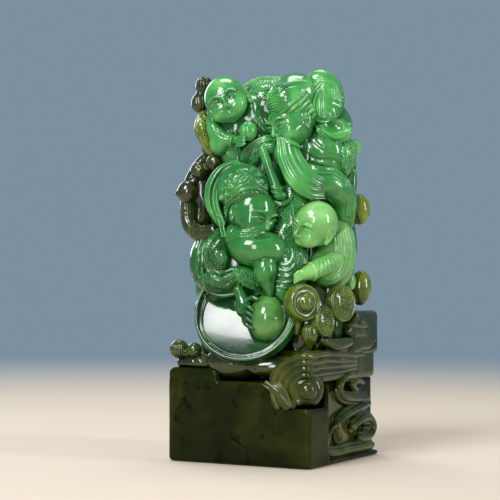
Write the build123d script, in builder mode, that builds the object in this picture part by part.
from build123d import *
import math
import os

# A jade desk seal: a square seal block with a carved group of two robed
# figures, two boys, an ingot, coins, clouds, plants and peaches on top.
# The stone is one piece in life. Each carved element is its own solid here,
# cut to sit face to face on what it grows out of.
# Millimetres, +Z up, origin at the centre of the flat seal face.

# Driving sizes
block_width = 40.0
ledge_height = 20.5
carving_height = 78.0
carving_turn = 29.6

# Seal block
left_ledge_rise = 3.0
left_ledge_length = 14.5
edge_round = 0.8
foot_round = 0.5
corner_rebate_height = 14.4
corner_rebate_front = 8.6
corner_rebate_side = 9.4
side_relief = 1.5
side_relief_front_gap = 11.0
side_relief_foot = 1.2

# Heads
boy_head_diameter = 11.4
young_boy_head_diameter = 10.6
young_boy_tuft_diameter = 3.2
official_head_diameter = 12.0
general_head_diameter = 12.6

# Robes, hats and rocks: width and height
official_robe_size = (21.0, 21.0)
left_shoulder_size = (10.4, 15.0)
robe_skirt_size = (11.0, 17.0)
brocade_panel_size = (9.2, 22.0)
hat_crown_size = (13.8, 12.6)
general_robe_size = (15.2, 19.0)
general_cap_size = (12.6, 10.6)
general_shoulder_size = (9.4, 11.6)
armour_plate_size = (6.8, 11.0)
beast_knob_diameter = 3.8
upper_boy_body_size = (12.6, 18.0)
lower_boy_body_size = (12.0, 18.0)
flower_rock_size = (14.0, 12.6)
lower_rock_size = (12.0, 24.0)
back_robe_size = (16.4, 25.0)

# The ingot, a round dish with a dome in the middle
ingot_diameter = 26.4
ingot_rim = 1.4
ingot_depth = 3.4
ingot_wall = 3.6
ingot_yaw = -14.0
ingot_pitch = 22.0
ingot_dome_size = (9.4, 12.0)

# The hand on the ingot
hand_size = (6.0, 9.6)

# Medallion and coins
medallion_diameter = 9.4
medallion_yaw = 26.0
medallion_boss_diameter = 4.8
medallion_boss_rise = 1.3
coin_diameter = 9.2
coin_thickness = 6.0
coin_yaw = 48.0
small_coin_diameter = 7.6
rim_share = 0.16
sink_share = 0.10

# Staff
staff_diameter = 2.3
staff_knob_diameter = 3.6

# Peaches, buds and knobs: width and height, or diameter
upper_peach_size = (5.6, 8.0)
lower_peach_size = (5.6, 9.0)
small_peach_size = (3.4, 5.2)
held_peach_diameter = 4.4
hanging_peach_size = (4.2, 6.6)
bud_diameter = 4.6
ribbed_knob_diameter = 4.8
small_knob_diameter = 3.8
pearl_diameter = 4.6

# Cloud bands
cloud_reach = 9.4
cloud_front_slope = 0.6
cloud_thickness = 12.0
cloud_band = 1.5
cloud_band_spacing = 1.9
cloud_band_count = 3
ribbon_diameter = 1.5
ribbon_count = 4
ribbon_spacing = 1.5
ribbon_length_share = 0.5
ribbon_front_gap = 7.5
scroll_band = 2.4

# Rock behind the clouds
bank_height = 7.5
bank_length_share = 0.775
bank_depth_share = 0.375
plate_height = 9.0
plate_length_share = 0.375
plate_depth_share = 0.275
rock_round = 1.2

# How far the rounded end of a tapering form stands out, and its width there
nose_share = 0.6

half_block = block_width / 2
carving_reach = half_block
bank_face = half_block - side_relief / 2

turn = math.radians(carving_turn)
across = Vector(math.cos(turn), math.sin(turn), 0)
outward = Vector(math.sin(turn), -math.cos(turn), 0)
upward = Vector(0, 0, 1)
rising = (Align.CENTER, Align.CENTER, Align.MIN)
sinking = (Align.CENTER, Align.CENTER, Align.MAX)
scroll_plane = Plane(origin=(bank_face - side_relief / 4, 0, 0), x_dir=(0, 1, 0), z_dir=(1, 0, 0))
made = []


def spot(across_share, out_share, up_share):
    """A place in the carving: shares of its reach across and out, and of its height."""
    level = ledge_height + carving_height * up_share
    return across * (carving_reach * across_share) + outward * (carving_reach * out_share) + upward * level


def facing(centre, yaw, pitch=0):
    """A plane that looks out of the carving, turned to the right by yaw and up by pitch."""
    side_turn = math.radians(yaw)
    rise = math.radians(pitch)
    level = outward * math.cos(side_turn) + across * math.sin(side_turn)
    look = level * math.cos(rise) + upward * math.sin(rise)
    side = across * math.cos(side_turn) - outward * math.sin(side_turn)
    return Plane(origin=centre, x_dir=side, z_dir=look)


def egg(centre, size):
    """A round upright form, taller or flatter than a ball."""
    width, height = size
    with BuildPart(mode=Mode.PRIVATE) as form:
        with Locations(Rotation(0, 0, 90)):
            Sphere(width / 2)
        scale(by=(1, 1, height / width))
    with Locations(Plane(origin=centre, x_dir=across, z_dir=upward)):
        add(form.part)


def puffs(*puff_shares):
    """Round forms run together, each as a place with its width and height."""
    for across_share, out_share, up_share, width_share, height_share in puff_shares:
        size = (carving_reach * width_share, carving_height * height_share)
        egg(spot(across_share, out_share, up_share), size)


def ball(centre, diameter):
    """A ball at a place."""
    with Locations(Plane(origin=centre, x_dir=outward, z_dir=across)):
        Sphere(diameter / 2)


def rod(foot, tip, diameter, tip_diameter):
    """A round rod with a ball at its tip."""
    with BuildSketch(Plane(origin=foot, z_dir=tip - foot)) as section:
        Circle(diameter / 2)
    extrude(section.sketch, amount=(tip - foot).length)
    ball(tip, tip_diameter)


def limb(*station_shares):
    """A smooth tapering form with rounded ends, through places with a radius at each."""
    places = [spot(*station[:3]) for station in station_shares]
    radii = [carving_reach * station[3] for station in station_shares]
    first_run = (places[0] - places[1]).normalized()
    last_run = (places[-1] - places[-2]).normalized()
    first_nose = radii[0] * nose_share
    last_nose = radii[-1] * nose_share
    places = [places[0] + first_run * first_nose, *places, places[-1] + last_run * last_nose]
    radii = [first_nose, *radii, last_nose]
    last = len(places) - 1
    sections = []
    for step, (place, radius) in enumerate(zip(places, radii)):
        run = (places[min(step + 1, last)] - places[max(step - 1, 0)]).normalized()
        with BuildSketch(Plane(origin=place, x_dir=outward.cross(run), z_dir=run)) as section:
            Circle(radius)
        sections.append(section.sketch.face())
    loft(sections)


def dished_disc(plane, diameter, thickness, rim, sink):
    """A round disc whose face, on the plane, has a rounded rim round a shallow dish."""
    radius = diameter / 2
    section = Plane(origin=plane.origin, x_dir=plane.y_dir, z_dir=plane.x_dir)
    with BuildSketch(section) as profile:
        with BuildLine():
            Polyline((0, -thickness), (radius, -thickness), (radius, -rim / 2))
            rounding = TangentArc((radius, -rim / 2), (radius - rim, -rim / 2), tangent=(0, 1))
            ThreePointArc(rounding @ 1, (radius / 2, -sink * 3 / 4 - rim / 2), (0, -sink - rim / 2))
            Line((0, -sink - rim / 2), (0, -thickness))
        make_face()
    revolve(profile.sketch, axis=Axis(plane.origin, plane.z_dir))


def rimmed_disc(plane, diameter):
    """A thick coin whose face, on the plane, has a raised rim round a flat pan."""
    pan_radius = diameter / 2 - diameter * rim_share
    with Locations(plane):
        Cylinder(diameter / 2, coin_thickness, align=sinking)
        Cylinder(pan_radius, diameter * sink_share, align=sinking, mode=Mode.SUBTRACT)


def scroll(point_shares):
    """A raised band on the clouded side, along arcs through shares of half width and ledge height."""
    points = [(half_block * along_share, ledge_height * up_share) for along_share, up_share in point_shares]
    with BuildLine() as flat_path:
        run = Line(points[0], points[1])
        for start, end in zip(points[1:-1], points[2:]):
            run = TangentArc(start, end, tangent=run % 1)
    path = Wire(scroll_plane.from_local_coords(flat_path.line).edges())
    with BuildSketch(Plane(origin=path @ 0, z_dir=path % 0)) as section:
        Circle(scroll_band / 2)
    sweep(section.sketch, path=path)


def meet(box, other):
    """Whether two boxes overlap."""
    level = box.min.Z < other.max.Z and other.min.Z < box.max.Z
    abreast = box.min.X < other.max.X and other.min.X < box.max.X
    return level and abreast and box.min.Y < other.max.Y and other.min.Y < box.max.Y


def finish(piece, name, count=1):
    """Seat a piece on the earlier pieces that it meets, label it and write it."""
    piece_box = piece.part.bounding_box(optimal=False)
    with BuildPart() as seated:
        add(piece.part)
        for earlier, earlier_box in made:
            if meet(piece_box, earlier_box):
                add(earlier, mode=Mode.SUBTRACT)
        add(seated.part.solids().sort_by(SortBy.VOLUME)[-count:], mode=Mode.REPLACE)
    seated.part.label = name
    export_step(seated.part, "parts/" + name + ".step")
    made.append((piece.part, piece_box))


os.makedirs("parts", exist_ok=True)

# The block, stepped down towards the near corner, with its clouded side cut back.
with BuildPart() as seal_block:
    with BuildSketch():
        Rectangle(block_width, block_width)
    extrude(amount=ledge_height)
    with BuildSketch(Plane.XY.offset(ledge_height)):
        with Locations((-half_block, 0)):
            Rectangle(left_ledge_length, block_width, align=(Align.MIN, Align.CENTER))
    extrude(amount=left_ledge_rise)
    fillet(seal_block.edges().filter_by(Axis.Z).group_by(Axis.X)[0], edge_round)
    fillet(seal_block.faces().sort_by(Axis.Z)[0].edges(), foot_round)
    with Locations((half_block, -half_block, corner_rebate_height)):
        Box(
            corner_rebate_front,
            corner_rebate_side,
            ledge_height,
            align=(Align.MAX, Align.MIN, Align.MIN),
            mode=Mode.SUBTRACT,
        )
    with Locations((half_block, side_relief_front_gap - half_block, side_relief_foot)):
        Box(
            side_relief,
            block_width,
            ledge_height,
            align=(Align.MAX, Align.MIN, Align.MIN),
            mode=Mode.SUBTRACT,
        )
finish(seal_block, "seal_block")

# The rough heart of the carving: oval sections, each as up, across, out,
# half width and half depth.
core_section_shares = [
    (0.00, -0.02, -0.12, 0.96, 0.72),
    (0.25, 0.00, -0.12, 0.97, 0.70),
    (0.51, 0.03, -0.10, 0.93, 0.68),
    (0.74, 0.015, -0.10, 0.88, 0.65),
    (0.87, 0.02, -0.10, 0.76, 0.56),
    (0.955, 0.10, -0.10, 0.50, 0.38),
]
with BuildPart() as carving_core:
    for up_share, across_share, out_share, width_share, depth_share in core_section_shares:
        with BuildSketch(Plane(origin=spot(across_share, out_share, up_share), x_dir=across, z_dir=upward)):
            Ellipse(carving_reach * width_share, carving_reach * depth_share)
    loft()
finish(carving_core, "carving_core")

# Rock on the clouded side: a low bank, and a taller plate at the back of it.
with BuildPart() as rock_bank:
    with Locations((bank_face, half_block, ledge_height)):
        Box(
            block_width * bank_depth_share,
            block_width * bank_length_share,
            bank_height,
            align=(Align.MAX, Align.MAX, Align.MIN),
        )
    fillet(rock_bank.faces().sort_by(Axis.Z)[-1].edges(), rock_round)
finish(rock_bank, "rock_bank")
with BuildPart() as rock_plate:
    with Locations((half_block, half_block, ledge_height + bank_height)):
        Box(
            block_width * plate_depth_share,
            block_width * plate_length_share,
            plate_height,
            align=(Align.MAX, Align.MAX, Align.MIN),
        )
    fillet(rock_plate.faces().sort_by(Axis.Z)[-1].edges(), rock_round)
finish(rock_plate, "rock_plate")
with BuildPart() as lower_rock:
    egg(spot(0.40, 0.55, 0.173), lower_rock_size)
finish(lower_rock, "lower_rock")
with BuildPart() as flower_rock:
    egg(spot(-0.12, -0.30, 0.91), flower_rock_size)
    puffs((0.125, -0.25, 0.936, 0.50, 0.103))
finish(flower_rock, "flower_rock")

# The ingot held before the official.
ingot_plane = facing(spot(-0.375, 0.65, 0.215), ingot_yaw, ingot_pitch)
with BuildPart() as ingot_dish:
    dished_disc(ingot_plane, ingot_diameter, ingot_depth + ingot_wall, ingot_rim, ingot_depth)
finish(ingot_dish, "ingot_dish")
with BuildPart() as ingot_dome:
    egg(spot(-0.12, 0.73, 0.195), ingot_dome_size)
finish(ingot_dome, "ingot_dome")

# The official: robe, shoulder, skirt, brocade panel, head, hat, beard, collar and hand.
with BuildPart() as official_robe:
    egg(spot(-0.455, 0.175, 0.365), official_robe_size)
    puffs((-0.775, 0.15, 0.30, 0.50, 0.192))
finish(official_robe, "official_robe")
with BuildPart() as left_shoulder:
    egg(spot(-0.84, 0.25, 0.38), left_shoulder_size)
    puffs((-0.78, 0.36, 0.322, 0.42, 0.11))
finish(left_shoulder, "left_shoulder")
with BuildPart() as robe_skirt:
    egg(spot(0.15, 0.575, 0.36), robe_skirt_size)
finish(robe_skirt, "robe_skirt")
with BuildPart() as brocade_panel:
    egg(spot(0.215, 0.475, 0.505), brocade_panel_size)
    puffs((0.11, 0.55, 0.442, 0.375, 0.128))
finish(brocade_panel, "brocade_panel")
with BuildPart() as official_head:
    ball(spot(-0.30, 0.575, 0.53), official_head_diameter)
finish(official_head, "official_head")
with BuildPart() as official_hat:
    egg(spot(-0.415, 0.525, 0.61), hat_crown_size)
    limb(
        (-0.65, 0.70, 0.55, 0.05),
        (-0.475, 0.84, 0.575, 0.06),
        (-0.275, 0.86, 0.60, 0.06),
        (-0.09, 0.75, 0.595, 0.05),
    )
finish(official_hat, "official_hat")
with BuildPart() as hat_flap:
    limb(
        (-0.625, 0.55, 0.685, 0.06),
        (-0.775, 0.55, 0.615, 0.11),
        (-0.765, 0.575, 0.54, 0.11),
        (-0.665, 0.625, 0.49, 0.05),
    )
finish(hat_flap, "hat_flap")
with BuildPart() as official_beard:
    limb(
        (-0.25, 0.60, 0.475, 0.29),
        (-0.23, 0.63, 0.415, 0.33),
        (-0.15, 0.75, 0.35, 0.195),
        (-0.115, 0.81, 0.30, 0.085),
        (-0.105, 0.83, 0.27, 0.03),
    )
finish(official_beard, "official_beard")
with BuildPart() as cloud_collar:
    limb(
        (-0.925, 0.47, 0.325, 0.07),
        (-0.675, 0.63, 0.295, 0.095),
        (-0.40, 0.70, 0.305, 0.095),
        (-0.175, 0.76, 0.325, 0.06),
    )
finish(cloud_collar, "cloud_collar")
with BuildPart() as official_hand:
    egg(spot(-0.37, 0.71, 0.205), hand_size)
finish(official_hand, "official_hand")

# The general: robe, head, cap with its scroll, beard, shoulder, sleeve and armour.
with BuildPart() as general_robe:
    egg(spot(0.60, 0.20, 0.725), general_robe_size)
    puffs((0.225, 0.225, 0.712, 0.65, 0.192))
finish(general_robe, "general_robe")
with BuildPart() as general_head:
    ball(spot(0.24, 0.375, 0.84), general_head_diameter)
finish(general_head, "general_head")
with BuildPart() as general_cap:
    egg(spot(0.25, 0.30, 0.92), general_cap_size)
    puffs((0.15, 0.43, 0.873, 0.48, 0.082))
finish(general_cap, "general_cap")
with BuildPart() as cap_scroll:
    limb(
        (0.425, 0.35, 0.955, 0.08),
        (0.575, 0.35, 0.973, 0.105),
        (0.725, 0.35, 0.945, 0.115),
        (0.765, 0.375, 0.895, 0.105),
        (0.71, 0.425, 0.85, 0.085),
        (0.60, 0.475, 0.845, 0.065),
    )
finish(cap_scroll, "cap_scroll")
with BuildPart() as general_shoulder:
    egg(spot(0.74, 0.20, 0.815), general_shoulder_size)
finish(general_shoulder, "general_shoulder")
with BuildPart() as general_beard:
    limb(
        (0.075, 0.58, 0.755, 0.17),
        (0.215, 0.63, 0.685, 0.215),
        (0.315, 0.69, 0.62, 0.14),
        (0.365, 0.715, 0.575, 0.03),
    )
finish(general_beard, "general_beard")
with BuildPart() as general_sleeve:
    limb(
        (0.315, 0.475, 0.645, 0.15),
        (0.50, 0.525, 0.625, 0.19),
        (0.725, 0.425, 0.61, 0.195),
        (0.865, 0.225, 0.57, 0.165),
        (0.85, 0.175, 0.50, 0.13),
    )
finish(general_sleeve, "general_sleeve")
with BuildPart() as armour_plate:
    egg(spot(0.865, 0.075, 0.725), armour_plate_size)
    ball(spot(1.005, 0, 0.755), beast_knob_diameter)
finish(armour_plate, "armour_plate")
with BuildPart() as staff:
    rod(spot(-0.17, 0.60, 0.737), spot(0.01, 0.68, 0.597), staff_diameter, staff_knob_diameter)
finish(staff, "staff")

# The boy at the upper left, with a peach in his hands and a band of cloth below.
with BuildPart() as upper_boy_body:
    egg(spot(-0.475, 0.175, 0.80), upper_boy_body_size)
    puffs((-0.27, 0.15, 0.84, 0.45, 0.167), (-0.53, 0.30, 0.745, 0.38, 0.141))
finish(upper_boy_body, "upper_boy_body")
with BuildPart() as upper_boy_head:
    ball(spot(-0.625, 0.375, 0.90), boy_head_diameter)
finish(upper_boy_head, "upper_boy_head")
with BuildPart() as upper_boy_arm:
    limb((-0.79, 0.30, 0.85, 0.11), (-0.74, 0.43, 0.80, 0.105), (-0.525, 0.54, 0.78, 0.08))
finish(upper_boy_arm, "upper_boy_arm")
with BuildPart() as held_peach:
    ball(spot(-0.37, 0.52, 0.78), held_peach_diameter)
finish(held_peach, "held_peach")
with BuildPart() as robe_band:
    limb((-0.325, 0.475, 0.75, 0.07), (-0.175, 0.55, 0.735, 0.08), (-0.09, 0.55, 0.69, 0.065))
finish(robe_band, "robe_band")

# The boy at the lower right.
with BuildPart() as lower_boy_body:
    egg(spot(0.715, 0.275, 0.40), lower_boy_body_size)
    puffs((0.58, 0.48, 0.355, 0.45, 0.123), (0.80, 0.25, 0.455, 0.38, 0.115))
finish(lower_boy_body, "lower_boy_body")
with BuildPart() as lower_boy_head:
    ball(spot(0.495, 0.66, 0.495), young_boy_head_diameter)
    ball(spot(0.65, 0.64, 0.555), young_boy_tuft_diameter)
finish(lower_boy_head, "lower_boy_head")
with BuildPart() as lower_boy_arm:
    limb((0.70, 0.52, 0.37, 0.11), (0.49, 0.70, 0.34, 0.095), (0.285, 0.82, 0.335, 0.07))
finish(lower_boy_arm, "lower_boy_arm")

# Medallion, coins and the peach that hangs below them.
with BuildPart() as medallion:
    medallion_plane = facing(spot(0.305, 1.03, 0.247), medallion_yaw)
    rimmed_disc(medallion_plane, medallion_diameter)
    boss_plane = medallion_plane.offset(-medallion_diameter * sink_share)
    with Locations(boss_plane):
        Cone(medallion_boss_diameter / 2, medallion_boss_diameter / 4, medallion_boss_rise, align=rising)
finish(medallion, "medallion")
with BuildPart() as coin:
    rimmed_disc(facing(spot(0.80, 0.55, 0.244), coin_yaw), coin_diameter)
finish(coin, "coin")
with BuildPart() as small_coin:
    rimmed_disc(facing(spot(0.56, 0.865, 0.188), coin_yaw), small_coin_diameter)
finish(small_coin, "small_coin")
with BuildPart() as hanging_peach:
    egg(spot(0.40, 0.94, 0.145), hanging_peach_size)
finish(hanging_peach, "hanging_peach")

# Hems and peaches on the right-hand side.
with BuildPart() as upper_hem:
    limb((0.975, -0.075, 0.72, 0.065), (0.985, -0.10, 0.65, 0.08), (0.95, -0.10, 0.57, 0.07))
finish(upper_hem, "upper_hem")
with BuildPart() as lower_hem:
    limb((0.975, -0.05, 0.505, 0.07), (0.985, -0.05, 0.43, 0.085), (0.965, 0, 0.35, 0.06))
finish(lower_hem, "lower_hem")
with BuildPart() as upper_peach:
    egg(spot(1.08, -0.10, 0.55), upper_peach_size)
finish(upper_peach, "upper_peach")
with BuildPart() as lower_peach:
    egg(spot(1.09, -0.05, 0.292), lower_peach_size)
finish(lower_peach, "lower_peach")
with BuildPart() as small_peach:
    egg(spot(0.93, 0.15, 0.318), small_peach_size)
finish(small_peach, "small_peach")

# Plants on the left-hand side.
with BuildPart() as plant_stem:
    limb((-0.83, 0, 0.80, 0.12), (-0.89, 0.025, 0.89, 0.11), (-0.90, 0.05, 0.94, 0.08))
finish(plant_stem, "plant_stem")
with BuildPart() as plant_buds:
    for bud_place in (spot(-0.91, 0.10, 0.955), spot(-0.97, 0.09, 0.898)):
        ball(bud_place, bud_diameter)
finish(plant_buds, "plant_buds", count=2)
with BuildPart() as seed_pod:
    limb(
        (-0.93, 0.15, 0.86, 0.045),
        (-0.93, 0.18, 0.815, 0.115),
        (-0.875, 0.20, 0.765, 0.08),
        (-0.81, 0.20, 0.725, 0.03),
    )
finish(seed_pod, "seed_pod")
with BuildPart() as bent_branch:
    limb(
        (-0.85, 0.05, 0.73, 0.08),
        (-1.00, 0.10, 0.68, 0.09),
        (-1.13, 0.125, 0.60, 0.09),
        (-1.11, 0.18, 0.50, 0.10),
        (-0.95, 0.33, 0.465, 0.105),
        (-0.78, 0.45, 0.475, 0.10),
    )
finish(bent_branch, "bent_branch")
fruit_shares = [
    (-0.975, 0.175, 0.675, 0.11),
    (-0.77, 0.25, 0.70, 0.115),
    (-1.115, 0.175, 0.605, 0.135),
    (-1.235, 0.175, 0.60, 0.045),
]
with BuildPart() as branch_fruits:
    for across_share, out_share, up_share, radius_share in fruit_shares:
        ball(spot(across_share, out_share, up_share), 2 * carving_reach * radius_share)
finish(branch_fruits, "branch_fruits", count=3)

# Rock and knobs along the left ledge, and a cloth tail that hangs over its edge.
with BuildPart() as ledge_rock:
    limb((-1.15, 0.25, 0.05, 0.10), (-0.95, 0.40, 0.055, 0.11), (-0.60, 0.56, 0.055, 0.11))
finish(ledge_rock, "ledge_rock")
with BuildPart() as ledge_knobs:
    ball(spot(-1.22, 0.30, 0.095), ribbed_knob_diameter)
    ball(spot(-1.025, 0.42, 0.094), small_knob_diameter)
finish(ledge_knobs, "ledge_knobs", count=2)
with BuildPart() as cloth_tail:
    limb((-0.115, 1.05, 0.01, 0.065), (-0.01, 1.12, -0.03, 0.065), (0.085, 1.19, -0.065, 0.05))
finish(cloth_tail, "cloth_tail")

# The cloud on the near corner: bands round a pearl, trimmed to the sides of the block.
corner = spot(0.36, 1.355, -0.019)
with BuildPart() as corner_cloud:
    with BuildSketch(Plane(origin=corner, x_dir=across, z_dir=-upward)) as cone:
        with BuildLine():
            Polyline(
                (0, 0),
                (cloud_reach, -cloud_front_slope * cloud_reach),
                (cloud_reach, -cloud_thickness),
                (0, -cloud_thickness),
                close=True,
            )
        make_face()
    revolve(cone.sketch, axis=Axis(corner, outward))
    for band in range(cloud_band_count):
        band_radius = pearl_diameter / 2 + cloud_band + cloud_band_spacing * band
        band_place = corner - outward * (cloud_front_slope * band_radius)
        with Locations(Plane(origin=band_place, x_dir=across, z_dir=outward)):
            Torus(band_radius, cloud_band / 2)
    with Locations((0, 0, corner_rebate_height)):
        Box(
            block_width,
            block_width,
            block_width,
            align=rising,
            mode=Mode.INTERSECT,
        )
finish(corner_cloud, "corner_cloud")
with BuildPart() as corner_pearl:
    ball(corner - outward * pearl_diameter / 4, pearl_diameter)
finish(corner_pearl, "corner_pearl")

# Cloud ribbons along the bank, and scrolls on the clouded side of the block.
with BuildPart() as cloud_ribbons:
    for ribbon in range(ribbon_count):
        ribbon_level = ledge_height + bank_height - ribbon_diameter - ribbon * ribbon_spacing
        with Locations((bank_face, ribbon_front_gap - half_block, ribbon_level)):
            Cylinder(
                ribbon_diameter / 2,
                block_width * ribbon_length_share,
                rotation=(-90, 0, 0),
                align=rising,
            )
finish(cloud_ribbons, "cloud_ribbons", count=ribbon_count)
scroll_shares = [
    [(0.35, 1.04), (0.05, 1.0), (-0.09, 0.90), (0.04, 0.80), (0.40, 0.745), (0.60, 0.74)],
    [(0.70, 0.66), (0.30, 0.60), (0.05, 0.56), (-0.13, 0.49), (-0.13, 0.36)],
    [(0.30, 0.40), (0.55, 0.47), (0.80, 0.45), (0.88, 0.34), (0.75, 0.25), (0.50, 0.25)],
    [(-0.42, 0.34), (-0.44, 0.22), (-0.25, 0.13), (0.25, 0.13), (0.40, 0.13), (0.82, 0.13)],
]
with BuildPart() as side_scrolls:
    for shares in scroll_shares:
        scroll(shares)
finish(side_scrolls, "side_scrolls", count=len(scroll_shares))

# The back of the carving: a robe and two banks of cloud.
with BuildPart() as back_robe:
    egg(spot(0.20, -0.45, 0.69), back_robe_size)
    puffs((-0.25, -0.39, 0.66, 0.65, 0.282), (0.075, -0.45, 0.558, 1.00, 0.154))
finish(back_robe, "back_robe")
with BuildPart() as low_back_cloud:
    puffs(
        (-0.70, -0.60, 0.122, 0.45, 0.115),
        (-0.30, -0.76, 0.160, 0.50, 0.128),
        (0.15, -0.77, 0.135, 0.475, 0.115),
        (0.50, -0.62, 0.167, 0.43, 0.115),
        (0.10, -0.66, 0.070, 0.70, 0.115),
        (-0.45, -0.62, 0.064, 0.60, 0.103),
    )
finish(low_back_cloud, "low_back_cloud")
with BuildPart() as high_back_cloud:
    puffs(
        (0.50, -0.60, 0.397, 0.43, 0.115),
        (0.10, -0.70, 0.455, 0.48, 0.123),
        (-0.35, -0.66, 0.430, 0.47, 0.115),
        (-0.60, -0.50, 0.500, 0.38, 0.103),
        (-0.05, -0.60, 0.359, 0.70, 0.115),
        (-0.42, -0.56, 0.327, 0.60, 0.115),
    )
finish(high_back_cloud, "high_back_cloud")
